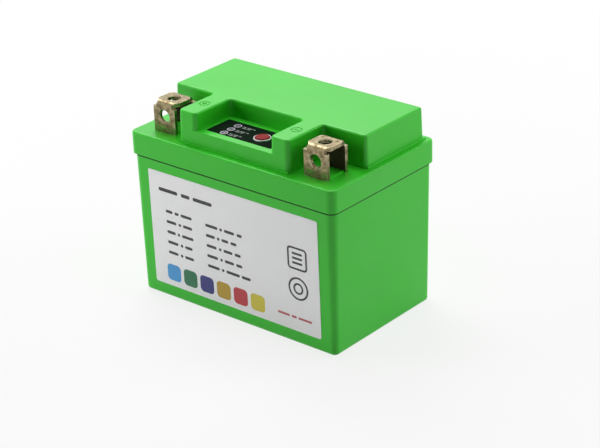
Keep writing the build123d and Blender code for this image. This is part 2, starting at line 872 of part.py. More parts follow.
# ---- Straps from the two front cells to the terminals, and their rivets ----
def strap(side):
    """Flat strap from a front cell to the rear tab of a terminal, with its end folded down on the tab."""
    outer_x = terminal_x + tab_width / 2
    with BuildPart() as piece:
        with BuildSketch(Plane.XY.offset(upper_holder_top_z)):
            with Locations((side * cell_offset, -cell_offset)):
                Circle(busbar_end_radius)
            with Locations((side * (outer_x + strap_inner_x) / 2, strap_tap_y)):
                Rectangle(outer_x - strap_inner_x, strap_width)
        extrude(amount=busbar_thickness)
        with BuildSketch(Plane.XY.offset(cell_top_z)):
            with Locations((side * cell_offset, -cell_offset)):
                Circle(weld_radius)
        extrude(amount=holder_lip)
        with BuildSketch(Plane.XY.offset(tab_bottom_z)):
            with Locations((side * terminal_x, terminal_rear_y + busbar_thickness / 2)):
                Rectangle(tab_width, busbar_thickness)
        extrude(amount=upper_holder_top_z - tab_bottom_z)
        fold_rear = (side * terminal_x, terminal_rear_y + busbar_thickness, rivet_z)
        with Locations(Plane(fold_rear, z_dir=(0, 1, 0))):
            Hole(rivet_radius + rivet_hole_clearance, depth=busbar_thickness)
    return piece.part


write(strap(-1), "positive_strap")
write(strap(1), "negative_strap")

with BuildPart() as strap_rivets:
    grip_front_y = terminal_rear_y - terminal_sheet
    grip_rear_y = terminal_rear_y + busbar_thickness
    for side in (-1, 1):
        rivet_axis = Plane((side * terminal_x, grip_front_y - rivet_head_height, rivet_z), z_dir=(0, 1, 0))
        with BuildSketch(rivet_axis):
            Circle(rivet_head_radius)
        extrude(amount=rivet_head_height)
        with BuildSketch(rivet_axis.offset(rivet_head_height)):
            Circle(rivet_radius)
        extrude(amount=grip_rear_y - grip_front_y)
        with BuildSketch(rivet_axis.offset(rivet_head_height + grip_rear_y - grip_front_y)):
            Circle(rivet_head_radius)
        extrude(amount=rivet_head_height)
write(strap_rivets.part, "strap_rivets")

# ---- Insulating sheet over the straps, open where the balance wires come up ----
with BuildPart() as insulating_sheet:
    window_front_y = strap_tap_y - window_margin
    window_rear_y = middle_tap_y + window_margin
    with BuildSketch(Plane.XY.offset(insulator_z)):
        RectangleRounded(2 * holder_half, 2 * holder_half, holder_corner_radius)
        with Locations((0, (window_front_y + window_rear_y) / 2)):
            Rectangle(
                2 * (2 * wire_pitch + window_margin),
                window_rear_y - window_front_y,
                mode=Mode.SUBTRACT,
            )
    extrude(amount=insulator_thickness)
write(insulating_sheet.part, "insulating_sheet")

# ---- Foam: bottom pad, front and rear pads, end blocks ----
with BuildPart() as bottom_pad:
    with BuildSketch(Plane.XY.offset(case_floor)):
        RectangleRounded(
            inner_size_at(inner_length, case_floor) - 2 * pad_gap,
            inner_size_at(inner_width, case_floor) - 2 * pad_gap,
            inner_corner_radius,
        )
    extrude(amount=bottom_pad_thickness)
write(bottom_pad.part, "bottom_pad")

for side, name in ((-1, "front_pad"), (1, "rear_pad")):
    with BuildPart() as pad:
        with BuildSketch(Plane.XY.offset(pad_top_z)):
            with Locations((0, side * (holder_half + pad_gap + side_pad_thickness / 2))):
                Rectangle(2 * holder_half - 2 * holder_corner_radius, side_pad_thickness)
        extrude(amount=foam_top_z - pad_top_z)
    write(pad.part, name)

for side, name in ((-1, "left_end_foam"), (1, "right_end_foam")):
    foam_inner_x = holder_half + pad_gap
    foam_outer_x = inner_length / 2 - pad_gap
    with BuildPart() as foam:
        with BuildSketch(Plane.XY.offset(pad_top_z)):
            with Locations((side * (foam_inner_x + foam_outer_x) / 2, 0)):
                RectangleRounded(foam_outer_x - foam_inner_x, 2 * holder_half, inner_corner_radius)
        extrude(amount=foam_top_z - pad_top_z)
    write(foam.part, name)


# ---- Wires, held between their ends: straight runs joined by tangent arcs ----
def wire(points):
    """Round wire of wire_radius along a filleted polyline whose first run is vertical."""
    with BuildPart() as piece:
        with BuildLine() as route:
            FilletPolyline(*points, radius=wire_bend_radius)
        with BuildSketch(Plane(points[0], z_dir=(0, 0, 1))):
            Circle(wire_radius)
        sweep(path=route.line)
    return piece.part


wire_turn_z = plug_z - wire_drop
cell_tap_z = upper_holder_top_z + busbar_thickness
balance_taps = [
    (-2 * wire_pitch, strap_tap_y, cell_tap_z),
    (-wire_pitch, 0, lower_holder_z),
    (0, middle_tap_y, cell_tap_z),
    (wire_pitch, 0, lower_holder_z),
    (2 * wire_pitch, strap_tap_y, cell_tap_z),
]
with BuildPart() as balance_wires:
    for x, tap_y, tap_z in balance_taps:
        add(
            wire(
                [
                    (x, header_y, plug_z),
                    (x, header_y, wire_turn_z),
                    (x, tap_y, wire_turn_z),
                    (x, tap_y, tap_z),
                ]
            )
        )
write(balance_wires.part, "balance_wires")

with BuildPart() as indicator_wires:
    start_y = overlay_rear_y - indicator_wire_edge
    end_y = balance_board_front_y + indicator_wire_edge
    run_z = indicator_board_top_z + indicator_wire_rise
    for index in range(indicator_wire_count):
        x = indicator_wire_x + index * indicator_wire_pitch
        add(
            wire(
                [
                    (x, start_y, indicator_board_top_z),
                    (x, start_y, run_z),
                    (x, end_y, run_z),
                    (x, end_y, balance_board_z),
                ]
            )
        )
write(indicator_wires.part, "indicator_wires")

# ---- Label on the drafted front face ----
front_face = Plane(
    (0, -case_base_width / 2, 0),
    x_dir=(1, 0, 0),
    z_dir=(0, -cos(draft_tilt), -sin(draft_tilt)),
)
label_height = shoulder_z - label_bottom_margin - label_top_margin
with BuildPart() as front_label:
    with BuildSketch(front_face):
        with Locations((0, label_bottom_margin + label_height / 2)):
            RectangleRounded(case_base_length - 2 * label_end_margin, label_height, label_corner_radius)
    extrude(amount=label_thickness)
write(front_label.part, "front_label")
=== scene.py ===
import math
import random

import bmesh
import bpy
from mathutils import Matrix, Vector


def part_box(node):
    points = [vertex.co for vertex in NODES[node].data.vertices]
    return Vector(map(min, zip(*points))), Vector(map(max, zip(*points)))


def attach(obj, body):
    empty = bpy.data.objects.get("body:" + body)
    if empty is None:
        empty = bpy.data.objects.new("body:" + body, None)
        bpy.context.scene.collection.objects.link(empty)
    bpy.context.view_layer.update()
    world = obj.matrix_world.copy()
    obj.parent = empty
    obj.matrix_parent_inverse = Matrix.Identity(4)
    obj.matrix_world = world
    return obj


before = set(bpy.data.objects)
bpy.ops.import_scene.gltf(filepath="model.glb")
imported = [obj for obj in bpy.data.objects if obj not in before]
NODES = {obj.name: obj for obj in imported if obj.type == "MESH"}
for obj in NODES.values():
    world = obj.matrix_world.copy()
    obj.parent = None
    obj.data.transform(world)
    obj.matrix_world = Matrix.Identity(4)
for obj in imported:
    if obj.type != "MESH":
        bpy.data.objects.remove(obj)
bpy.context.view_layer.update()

MM = 0.001
MICRON = 0.000001
# Range in which most values of a noise texture lie
NOISE_SPAN = (0.3, 0.7)
# Bend of the normal at which an edge starts to count, and from which it counts in full
EDGE_BEND = (0.01, 0.12)
random.seed(11)


# ---------------------------------------------------------------- colours
def linear(red, green, blue):
    """Linear colour of an 8-bit display colour."""
    channels = []
    for value in (red, green, blue):
        share = value / 255
        channels.append(share / 12.92 if share <= 0.04045 else ((share + 0.055) / 1.055) ** 2.4)
    return (*channels, 1.0)


def scaled(colour, factor):
    """The same colour, lighter or darker."""
    return (*(min(1.0, value * factor) for value in colour[:3]), 1.0)


# ---------------------------------------------------------------- material building
def put(tree, socket, value):
    """A socket is linked, and anything else is set as the input's own value."""
    if isinstance(value, bpy.types.NodeSocket):
        tree.links.new(value, socket)
    else:
        socket.default_value = value


def shader_node(tree, kind, inputs=None, **settings):
    """A new shader node. The settings come first, because they can change which inputs it has."""
    made = tree.nodes.new("ShaderNode" + kind)
    for key, value in settings.items():
        setattr(made, key, value)
    for key, value in (inputs or {}).items():
        put(tree, made.inputs[key], value)
    return made


class Surface:
    """A procedural material around one Principled shader, in object coordinates (metres)."""

    def __init__(self, name):
        self.material = bpy.data.materials.new(name)
        self.material.use_nodes = True
        self.tree = self.material.node_tree
        self.tree.nodes.clear()
        self.shader = self.node("BsdfPrincipled")
        output = self.node("OutputMaterial")
        self.tree.links.new(self.shader.outputs["BSDF"], output.inputs["Surface"])
        self.place = self.node("TexCoord").outputs["Object"]
        self.normal = None

    def node(self, kind, inputs=None, **settings):
        return shader_node(self.tree, kind, inputs, **settings)

    def stretched(self, scale, turn=(0, 0, 0)):
        mapping = self.node("Mapping", {"Vector": self.place, "Scale": scale, "Rotation": turn})
        return mapping.outputs["Vector"]

    def noise(self, scale, detail=3.0, roughness=0.5, place=None):
        made = self.node(
            "TexNoise",
            {"Vector": place or self.place, "Scale": scale, "Detail": detail, "Roughness": roughness},
        )
        return made.outputs["Fac"]

    def cells(self, scale):
        return self.node("TexVoronoi", {"Vector": self.place, "Scale": scale}).outputs["Distance"]

    def spread(self, value, source, target):
        """Value carried from the source range to the target range, and held at its ends."""
        made = self.node(
            "MapRange",
            {
                "Value": value,
                "From Min": source[0],
                "From Max": source[1],
                "To Min": target[0],
                "To Max": target[1],
            },
        )
        return made.outputs["Result"]

    def maths(self, operation, first, second):
        return self.node("Math", {0: first, 1: second}, operation=operation).outputs["Value"]

    def mix(self, share, first, second):
        """The first colour where the share is 0 and the second where it is 1. 6, 7 and 2 are the Mix node's
        colour sockets."""
        return self.node("Mix", {"Factor": share, 6: first, 7: second}, data_type="RGBA").outputs[2]

    def edges(self, radius):
        """1 along the sharp edges of the shape and 0 on its faces, from how far a rounding bends the normal."""
        rounded = self.node("Bevel", {"Radius": radius}, samples=6).outputs["Normal"]
        flat = self.node("NewGeometry").outputs["Normal"]
        agreement = self.node("VectorMath", {0: rounded, 1: flat}, operation="DOT_PRODUCT")
        bend = self.maths("SUBTRACT", 1.0, agreement.outputs["Value"])
        return self.spread(bend, EDGE_BEND, (0, 1))

    def set(self, **values):
        for key, value in values.items():
            put(self.tree, self.shader.inputs[key.replace("_", " ")], value)

    def bump(self, height, distance, strength):
        """Adds a relief of that height in metres on top of the ones before it."""
        inputs = {"Height": height, "Distance": distance, "Strength": strength}
        if self.normal is not None:
            inputs["Normal"] = self.normal
        self.normal = self.node("Bump", inputs).outputs["Normal"]
        self.set(Normal=self.normal)


SCUFF_STRETCH = (60, 900, 220)
SCUFF_TURN = (0.4, 0.3, 0.9)
DUST_TONE = (0.8, 0.82, 0.78, 1.0)
# Painted shade in a joint: its share and how dark it makes the colour
JOINT_SHADE_SHARE = 0.9
JOINT_SHADE_FACTOR = 0.05
# Paler tone along sharp metal edges: partly wear, partly a painted highlight
WEAR_AND_GLINT_TONE = (0.60, 0.56, 0.42, 1.0)
# Painted shade in a metal part's hollow: its tone, its share and the roughness it adds
HOLLOW_SHADE_TONE = (0.02, 0.014, 0.01, 1.0)
HOLLOW_SHADE_SHARE = 0.85
HOLLOW_SHADE_ROUGHNESS = 0.3
TARNISH_ROUGHNESS = 0.5


def moulded(name, colour, roughness=(0.3, 0.42), grain=12 * MICRON, patch=0.05, specular=0.5, joint_shade_band=None):
    """Moulded plastic: slight random changes of tone, fine eroded grain, faint scuffs and dust specks. Between the
    two heights given last, which are the edges of a joint, the surface is darkened with painted shade."""
    made = Surface(name)
    shade = made.spread(made.noise(22, 4), NOISE_SPAN, (0, 1))
    tone = made.mix(shade, scaled(colour, 1 - patch), scaled(colour, 1 + patch))
    scuff_place = made.stretched(SCUFF_STRETCH, SCUFF_TURN)
    scuff = made.spread(made.noise(1, 2, place=scuff_place), (0.7, 0.78), (0, 0.10))
    tone = made.mix(scuff, tone, scaled(colour, 1.5))
    speck = made.spread(made.cells(420), (0.03, 0.08), (0.25, 0))
    sparse = made.spread(made.noise(35, 1), (0.6, 0.66), (0, 1))
    tone = made.mix(made.maths("MULTIPLY", speck, sparse), tone, DUST_TONE)
    # Painted shade: a band at the joint under the skirt is darkened as if in shadow
    if joint_shade_band:
        height = made.node("SeparateXYZ", {"Vector": made.place}).outputs["Z"]
        above = made.maths("GREATER_THAN", height, joint_shade_band[0])
        below = made.maths("LESS_THAN", height, joint_shade_band[1])
        joint_shade = made.maths("MULTIPLY", made.maths("MULTIPLY", above, below), JOINT_SHADE_SHARE)
        tone = made.mix(joint_shade, tone, scaled(colour, JOINT_SHADE_FACTOR))
    finish = made.spread(made.noise(60, 4), NOISE_SPAN, roughness)
    finish = made.maths("ADD", finish, scuff)
    made.set(Base_Color=tone, Roughness=finish, Specular_IOR_Level=specular)
    made.bump(made.noise(180, 2), 20 * MICRON, 0.35)
    made.bump(made.noise(2600, 2), grain, 0.6)
    return made.material


def metal(
    name,
    colour,
    dark,
    roughness,
    brushed=(1, 1, 1),
    tarnish=0.35,
    relief=6 * MICRON,
    cloud_scale=140,
    stain=None,
    wear_and_glint_width=None,
    hollow_shade_box=None,
):
    """Bare or plated metal: brushed lines, tarnish clouds and small dark pits. A stain adds blotches of that colour
    and some paler than the metal. The width given for edges, in metres, is that of a paler band along sharp edges,
    partly wear and partly a painted highlight.
    Faces inside the box given last, by its low and high corners in Y and Z, are darkened near black with painted
    shade, the shadow in a hollow."""
    made = Surface(name)
    lines = made.noise(900, 3, place=made.stretched(brushed))
    clouds = made.spread(made.noise(cloud_scale, 4), (0.38, 0.7), (0, tarnish))
    tone = made.mix(made.spread(lines, NOISE_SPAN, (0, 1)), scaled(colour, 0.93), scaled(colour, 1.06))
    tone = made.mix(clouds, tone, dark)
    if stain:
        blotches = made.spread(made.noise(cloud_scale * 0.6, 5, 0.65), (0.52, 0.66), (0, 0.55))
        tone = made.mix(blotches, tone, stain)
        rubbed = made.spread(made.noise(cloud_scale * 2.2, 3, 0.6), (0.6, 0.72), (0, 0.5))
        tone = made.mix(rubbed, tone, scaled(colour, 1.9))
    # Paler band along sharp edges: partly wear, partly a painted highlight where the edges catch the light
    if wear_and_glint_width:
        patchy = made.spread(made.noise(cloud_scale * 1.5, 3), (0.35, 0.6), (0.25, 0.9))
        wear_and_glint = made.maths("MULTIPLY", made.edges(wear_and_glint_width), patchy)
        tone = made.mix(wear_and_glint, tone, WEAR_AND_GLINT_TONE)
    pits = made.spread(made.cells(700), (0.06, 0.14), (0.5, 0))
    rare = made.spread(made.noise(260, 1), (0.58, 0.66), (0, 1))
    tone = made.mix(made.maths("MULTIPLY", pits, rare), tone, scaled(dark, 0.5))
    dulled = made.maths("MULTIPLY", clouds, TARNISH_ROUGHNESS)
    finish = made.maths("ADD", made.spread(lines, NOISE_SPAN, roughness), dulled)
    # Painted shade: faces in the hollow are darkened near black as if in shadow, and made rougher
    if hollow_shade_box:
        inside = 1.0
        parts = made.node("SeparateXYZ", {"Vector": made.place})
        for axis, low, high in zip("YZ", hollow_shade_box[0], hollow_shade_box[1]):
            above = made.maths("GREATER_THAN", parts.outputs[axis], low)
            below = made.maths("LESS_THAN", parts.outputs[axis], high)
            inside = made.maths("MULTIPLY", inside, made.maths("MULTIPLY", above, below))
        tone = made.mix(made.maths("MULTIPLY", inside, HOLLOW_SHADE_SHARE), tone, HOLLOW_SHADE_TONE)
        finish = made.maths("ADD", finish, made.maths("MULTIPLY", inside, HOLLOW_SHADE_ROUGHNESS))
    made.set(Base_Color=tone, Roughness=finish, Metallic=1.0)
    made.bump(lines, relief, 0.8)
    made.bump(made.noise(320, 3), relief * 4, 0.5)
    return made.material


# ---------------------------------------------------------------- materials of the visible shell
# The joint under the skirt: its height, how far below the skirt the painted shade starts and how far it spills past
# the joint
SEAM_GAP = 0.9 * MM
SEAM_MARGIN = 0.12 * MM
SEAM_SPILL = 0.28 * MM
# How near to a face's own height or length a vertex counts as lying on it
NEAR_FACE = 0.5 * MM
lid_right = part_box("lid")[1].x
skirt_bottom = min(vertex.co.z for vertex in NODES["lid"].data.vertices if vertex.co.x > lid_right - NEAR_FACE)


def shell_plastic():
    # The band of painted shade on the case wall just below the skirt
    joint_shade_heights = (skirt_bottom - SEAM_GAP - SEAM_SPILL, skirt_bottom - SEAM_MARGIN)
    return moulded("shell_green", linear(48, 199, 33), patch=0.03, specular=0.49, joint_shade_band=joint_shade_heights)


# The box of painted shade reaches a little into the sheet, so that the sheet's inner faces lie inside it
TERMINAL_SHEET = 1.8 * MM
SHADE_BOX_REACH = 0.05 * MM
terminal_low, terminal_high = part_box("positive_terminal")


def terminal_metal():
    # The strap's hollow, between its legs and under its top, is darkened with painted shade
    inset = TERMINAL_SHEET - SHADE_BOX_REACH
    hollow_low = (terminal_low.y + inset, terminal_low.z)
    hollow_high = (terminal_high.y - inset, terminal_high.z - inset)
    return metal(
        "terminal_brass",
        colour=(0.345, 0.29, 0.165, 1.0),
        dark=(0.085, 0.065, 0.025, 1.0),
        roughness=(0.16, 0.26),
        brushed=(0.15, 0.15, 2.5),
        tarnish=0.85,
        relief=10 * MICRON,
        cloud_scale=420,
        stain=(0.20, 0.12, 0.06, 1.0),
        wear_and_glint_width=0.7 * MM,
        hollow_shade_box=(hollow_low, hollow_high),
    )


def label_vinyl():
    """Satin printed vinyl with a slight mottle and a soft orange-peel film."""
    made = Surface("label_vinyl")
    mottle = made.spread(made.noise(30, 3), NOISE_SPAN, (0, 1))
    fibre = made.spread(made.noise(1500, 2), NOISE_SPAN, (0, 1))
    tone = made.mix(mottle, (0.94, 0.94, 0.95, 1), (0.97, 0.97, 0.975, 1))
    tone = made.mix(made.maths("MULTIPLY", fibre, 0.1), tone, (0.7, 0.7, 0.7, 1))
    made.set(Base_Color=tone, Roughness=made.spread(mottle, (0, 1), (0.3, 0.38)), Specular_IOR_Level=1.0)
    made.bump(made.noise(260, 2), 15 * MICRON, 0.4)
    made.bump(fibre, 2 * MICRON, 0.5)
    return made.material


INK_ROUGHNESS = (0.45, 0.55)
STARVED_TONE = (0.6, 0.6, 0.6, 1)


def ink(name, colour):
    """Printed ink with an uneven, slightly starved coverage."""
    made = Surface(name)
    starved = made.spread(made.noise(2400, 3), (0.35, 0.75), (0, 0.1))
    tone = made.mix(starved, colour, STARVED_TONE)
    made.set(Base_Color=tone, Roughness=made.spread(made.noise(500), NOISE_SPAN, INK_ROUGHNESS))
    made.bump(made.noise(1800, 2), 2 * MICRON, 0.5)
    return made.material


def overlay_film():
    """Black polyester overlay with a fine velvet texture."""
    made = Surface("overlay_black")
    shade = made.spread(made.noise(90, 3), NOISE_SPAN, (0, 1))
    made.set(
        Base_Color=made.mix(shade, (0.004, 0.010, 0.006, 1), (0.007, 0.018, 0.010, 1)),
        Roughness=made.spread(made.noise(400), NOISE_SPAN, (0.3, 0.4)),
        IOR=1.035,
    )
    made.bump(made.noise(5200, 2), 1.5 * MICRON, 0.5)
    return made.material


def button_rubber():
    """Red moulded button with random paler patches of wear, and painted shade that darkens it towards its rim."""
    low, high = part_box("test_button")
    radius = (high.x - low.x) / 2
    made = Surface("button_red")
    wear = made.spread(made.noise(420, 3), (0.35, 0.7), (0, 1))
    centred = made.node("VectorMath", {0: made.place, 1: (low + high) / 2}, operation="SUBTRACT")
    flattened = made.node("VectorMath", {0: centred.outputs["Vector"], 1: (1, 1, 0)}, operation="MULTIPLY")
    reach = made.node("VectorMath", {0: flattened.outputs["Vector"]}, operation="LENGTH").outputs["Value"]
    # Painted shade: the button darkens towards its rim
    rim_shade = made.spread(reach, (0.45 * radius, 0.95 * radius), (0, 0.75))
    tone = made.mix(wear, linear(140, 26, 34), linear(156, 38, 46))
    made.set(
        Base_Color=made.mix(rim_shade, tone, linear(100, 12, 20)),
        Roughness=made.spread(wear, (0, 1), (0.38, 0.5)),
        IOR=1.16,
    )
    made.bump(made.noise(3000, 2), 6 * MICRON, 0.6)
    return made.material


def window_plastic():
    """Frosted light pipe, greyish lilac with milky clouds."""
    made = Surface("window_clear")
    milk = made.spread(made.noise(900, 3), NOISE_SPAN, (0, 1))
    made.set(
        Base_Color=made.mix(milk, linear(88, 84, 96), linear(125, 122, 134)),
        Roughness=made.spread(milk, (0, 1), (0.18, 0.3)),
        Subsurface_Weight=0.15,
        Subsurface_Radius=(MM, MM, MM),
    )
    made.bump(made.noise(2200, 2), 4 * MICRON, 0.5)
    return made.material


def dress(material, *names):
    """The material on every slot of these CAD nodes."""
    for name in names:
        thing = NODES[name]
        if not thing.material_slots:
            thing.data.materials.append(material)
        for slot in thing.material_slots:
            slot.material = material


dress(shell_plastic(), "case", "lid")
dress(terminal_metal(), "positive_terminal", "negative_terminal")
dress(label_vinyl(), "front_label")
dress(overlay_film(), "indicator_overlay")
dress(button_rubber(), "test_button")
dress(window_plastic(), "light_pipes")
dress(
    moulded("bezel_white", linear(225, 225, 220), roughness=(0.25, 0.35), grain=4 * MICRON, patch=0.02),
    "button_bezel",
)


# ---------------------------------------------------------------- materials of the inside
def circuit_board():
    """Green solder mask, raised and paler over its tracks."""
    made = Surface("circuit_board")
    tracks = made.node(
        "TexBrick",
        {
            "Vector": made.stretched((1, 1, 0)),
            "Scale": 160.0,
            "Mortar Size": 0.06,
            "Mortar Smooth": 0.1,
            "Color1": (0, 0, 0, 1),
            "Color2": (0, 0, 0, 1),
            "Mortar": (1, 1, 1, 1),
        },
    ).outputs["Fac"]
    shade = made.spread(made.noise(120, 3), NOISE_SPAN, (0, 1))
    mask = made.mix(shade, (0.010, 0.085, 0.028, 1), (0.014, 0.11, 0.036, 1))
    made.set(
        Base_Color=made.mix(tracks, mask, (0.03, 0.22, 0.07, 1)),
        Roughness=made.spread(shade, (0, 1), (0.25, 0.4)),
        Coat_Weight=0.3,
        Coat_Roughness=0.15,
    )
    made.bump(tracks, 40 * MICRON, 0.8)
    made.bump(made.noise(2500, 2), 4 * MICRON, 0.5)
    return made.material


def foam(name, colour):
    """Closed-cell foam: shallow cells, darker in their middles."""
    made = Surface(name)
    pore = made.cells(900)
    shade = made.spread(made.noise(70, 4), NOISE_SPAN, (0, 1))
    tone = made.mix(shade, scaled(colour, 0.85), scaled(colour, 1.15))
    tone = made.mix(made.spread(pore, (0.1, 0.6), (0.5, 0)), tone, scaled(colour, 0.4))
    made.set(Base_Color=tone, Roughness=made.spread(shade, (0, 1), (0.85, 0.98)))
    made.bump(pore, 120 * MICRON, 0.8)
    return made.material


def shrink_film():
    """Blue shrink sleeve with fine vertical tension lines."""
    made = Surface("sleeve_blue")
    lines = made.noise(260, 3, place=made.stretched((1, 1, 0.06)))
    shade = made.spread(lines, NOISE_SPAN, (0, 1))
    made.set(
        Base_Color=made.mix(shade, (0.012, 0.075, 0.33, 1), (0.018, 0.11, 0.42, 1)),
        Roughness=made.spread(shade, (0, 1), (0.22, 0.34)),
    )
    made.bump(lines, 40 * MICRON, 0.5)
    made.bump(made.noise(1800, 2), 4 * MICRON, 0.5)
    return made.material


def fibre_paper(name, colour):
    """Pressed fibre sheet with long pale fibres."""
    made = Surface(name)
    fibres = made.noise(300, 5, 0.7, made.stretched((0.25, 2.2, 1), (0, 0, 0.5)))
    shade = made.spread(fibres, (0.35, 0.65), (0, 1))
    made.set(
        Base_Color=made.mix(shade, scaled(colour, 0.85), scaled(colour, 1.15)),
        Roughness=made.spread(shade, (0, 1), (0.7, 0.85)),
    )
    made.bump(fibres, 30 * MICRON, 0.6)
    return made.material


def wire_jackets(name, first_x, pitch, colours):
    """Wire insulation: each wire takes its colour from its place along X. first_x and pitch are in millimetres."""
    made = Surface(name)
    along = made.node("SeparateXYZ", {"Vector": made.place}).outputs["X"]
    tone = colours[0]
    for index, colour in enumerate(colours[1:], start=1):
        border = (first_x + (index - 0.5) * pitch) * MM
        tone = made.mix(made.maths("GREATER_THAN", along, border), tone, colour)
    haze = made.spread(made.noise(500, 3), NOISE_SPAN, (0, 0.12))
    made.set(
        Base_Color=made.mix(haze, tone, (0.4, 0.4, 0.4, 1)),
        Roughness=made.spread(made.noise(300), NOISE_SPAN, (0.4, 0.55)),
    )
    made.bump(made.noise(1500, 2), 10 * MICRON, 0.5)
    return made.material


FOAM_GREY = (0.09, 0.09, 0.10, 1)
FISH_PAPER = (0.30, 0.40, 0.30, 1)
RING_WHITE = (0.72, 0.71, 0.66, 1)
HOLDER_BLACK = (0.022, 0.022, 0.024, 1)
CHIP_BLACK = (0.016, 0.016, 0.018, 1)
CONNECTOR_WHITE = (0.70, 0.68, 0.60, 1)
LAMP_WHITE = (0.72, 0.70, 0.52, 1)
BLACK_JACKET = (0.012, 0.012, 0.013, 1)
RED_JACKET = (0.42, 0.02, 0.02, 1)
YELLOW_JACKET = (0.55, 0.40, 0.03, 1)
WHITE_JACKET = (0.62, 0.62, 0.60, 1)
BLUE_JACKET = (0.02, 0.08, 0.40, 1)

# Each metal's clean colour and its tarnish
STEEL = ((0.58, 0.58, 0.60, 1), (0.28, 0.26, 0.24, 1))
NICKEL = ((0.62, 0.60, 0.55, 1), (0.33, 0.30, 0.26, 1))
COPPER = ((0.80, 0.42, 0.26, 1), (0.28, 0.12, 0.06, 1))
SCREW_STEEL = ((0.60, 0.60, 0.62, 1), (0.26, 0.25, 0.24, 1))
BRUSHED_ALONG_X = (0.2, 2, 1)
BRUSHED_ALONG_Z = (1, 1, 0.1)

dress(circuit_board(), "indicator_board", "balance_board")
dress(
    foam("foam_grey", FOAM_GREY), "bottom_pad", "front_pad", "rear_pad", "left_end_foam", "right_end_foam"
)
dress(shrink_film(), "cell_sleeves")
dress(fibre_paper("fish_paper", FISH_PAPER), "insulating_sheet")
dress(fibre_paper("ring_white", RING_WHITE), "cell_rings")
dress(
    metal("cell_steel", *STEEL, roughness=(0.22, 0.32), brushed=BRUSHED_ALONG_Z),
    "cell_1",
    "cell_2",
    "cell_3",
    "cell_4",
)
dress(
    metal("busbar_nickel", *NICKEL, roughness=(0.2, 0.32), brushed=BRUSHED_ALONG_X),
    "left_lower_busbar",
    "right_lower_busbar",
    "upper_busbar",
)
dress(
    metal("strap_copper", *COPPER, roughness=(0.22, 0.36), brushed=BRUSHED_ALONG_X),
    "positive_strap",
    "negative_strap",
    "strap_rivets",
)
dress(metal("screw_steel", *SCREW_STEEL, roughness=(0.25, 0.36)), "indicator_screws", "balance_board_screws")
dress(
    moulded("holder_black", HOLDER_BLACK, roughness=(0.42, 0.55), patch=0.12),
    "lower_cell_holder",
    "upper_cell_holder",
)
dress(
    moulded("chip_black", CHIP_BLACK, roughness=(0.35, 0.5), patch=0.15),
    "balance_controller",
    "balance_transistors",
    "bleed_resistors",
    "tact_switch",
    "switch_plunger",
)
dress(
    moulded("connector_white", CONNECTOR_WHITE, roughness=(0.4, 0.5), patch=0.03),
    "balance_header",
    "balance_plug",
)
dress(moulded("lamp_white", LAMP_WHITE, roughness=(0.2, 0.3)), "indicator_leds")
dress(
    wire_jackets(
        "balance_jackets",
        first_x=-5.0,
        pitch=2.5,
        colours=[RED_JACKET, YELLOW_JACKET, WHITE_JACKET, BLUE_JACKET, BLACK_JACKET],
    ),
    "balance_wires",
)
dress(
    wire_jackets(
        "indicator_jackets",
        first_x=10.0,
        pitch=1.5,
        colours=[RED_JACKET, YELLOW_JACKET, BLUE_JACKET, BLACK_JACKET],
    ),
    "indicator_wires",
)


# ---------------------------------------------------------------- thin printed pieces
CIRCLE_STEPS = 48
# A bar's foot, height and rounding as shares of the height of its line, and its shortest share of a word
BAR_FOOT = 0.08
BAR_HEIGHT = 0.64
BAR_ROUNDING = 0.26
BAR_SHORTEST = 0.94
BAR_CORNER_STEPS = 4


def rectangle(u, v, width, height, radius, steps=6):
    """Outline of a rectangle from its lower left corner, with rounded corners, in millimetres."""
    points = []
    centres = [
        (u + width - radius, v + radius, -90),
        (u + width - radius, v + height - radius, 0),
        (u + radius, v + height - radius, 90),
        (u + radius, v + radius, 180),
    ]
    for centre_u, centre_v, start in centres:
        for step in range(steps + 1):
            angle = math.radians(start + 90 * step / steps)
            points.append((centre_u + radius * math.cos(angle), centre_v + radius * math.sin(angle)))
    return points


def circle(u, v, radius):
    angles = [math.tau * step / CIRCLE_STEPS for step in range(CIRCLE_STEPS)]
    return [(u + radius * math.cos(angle), v + radius * math.sin(angle)) for angle in angles]


def printed(name, shapes, at, thickness, material, body):
    """Thin raised print. A shape is an outline, or an (outer, inner) pair of outlines with equal counts;
    at(u, v, lift) carries millimetres on the face to a point in the shared frame, in metres."""
    mesh = bpy.data.meshes.new(name)
    made = bmesh.new()
    for shape in shapes:
        ring = isinstance(shape, tuple)
        outer, inner = shape if ring else (shape, None)
        low = [made.verts.new(at(u, v, 0)) for u, v in outer]
        high = [made.verts.new(at(u, v, thickness)) for u, v in outer]
        count = len(outer)
        for index in range(count):
            after = (index + 1) % count
            made.faces.new((low[index], low[after], high[after], high[index]))
        if ring:
            inner_low = [made.verts.new(at(u, v, 0)) for u, v in inner]
            inner_high = [made.verts.new(at(u, v, thickness)) for u, v in inner]
            for index in range(count):
                after = (index + 1) % count
                made.faces.new((inner_low[after], inner_low[index], inner_high[index], inner_high[after]))
                made.faces.new((high[index], high[after], inner_high[after], inner_high[index]))
                made.faces.new((low[after], low[index], inner_low[index], inner_low[after]))
        else:
            made.faces.new(high)
            made.faces.new(list(reversed(low)))
    bmesh.ops.recalc_face_normals(made, faces=made.faces)
    made.to_mesh(mesh)
    made.free()
    piece = bpy.data.objects.new(name, mesh)
    bpy.context.scene.collection.objects.link(piece)
    mesh.materials.append(material)
    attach(piece, body)


def words(u, v, height, lengths, gap):
    """A line of blank text: a plain bar with rounded ends in the place of each word."""
    bars = []
    for length in lengths:
        width = length * random.uniform(BAR_SHORTEST, 1.0)
        foot = v + BAR_FOOT * height
        bars.append(rectangle(u, foot, width, BAR_HEIGHT * height, BAR_ROUNDING * height, BAR_CORNER_STEPS))
        u += length + gap
    return bars


def paragraph(left, top, pitch, height, gap, lines):
    """Lines of blank text below one another."""
    bars = []
    for row, lengths in enumerate(lines):
        bars += words(left, top - pitch * row, height, lengths, gap)
    return bars


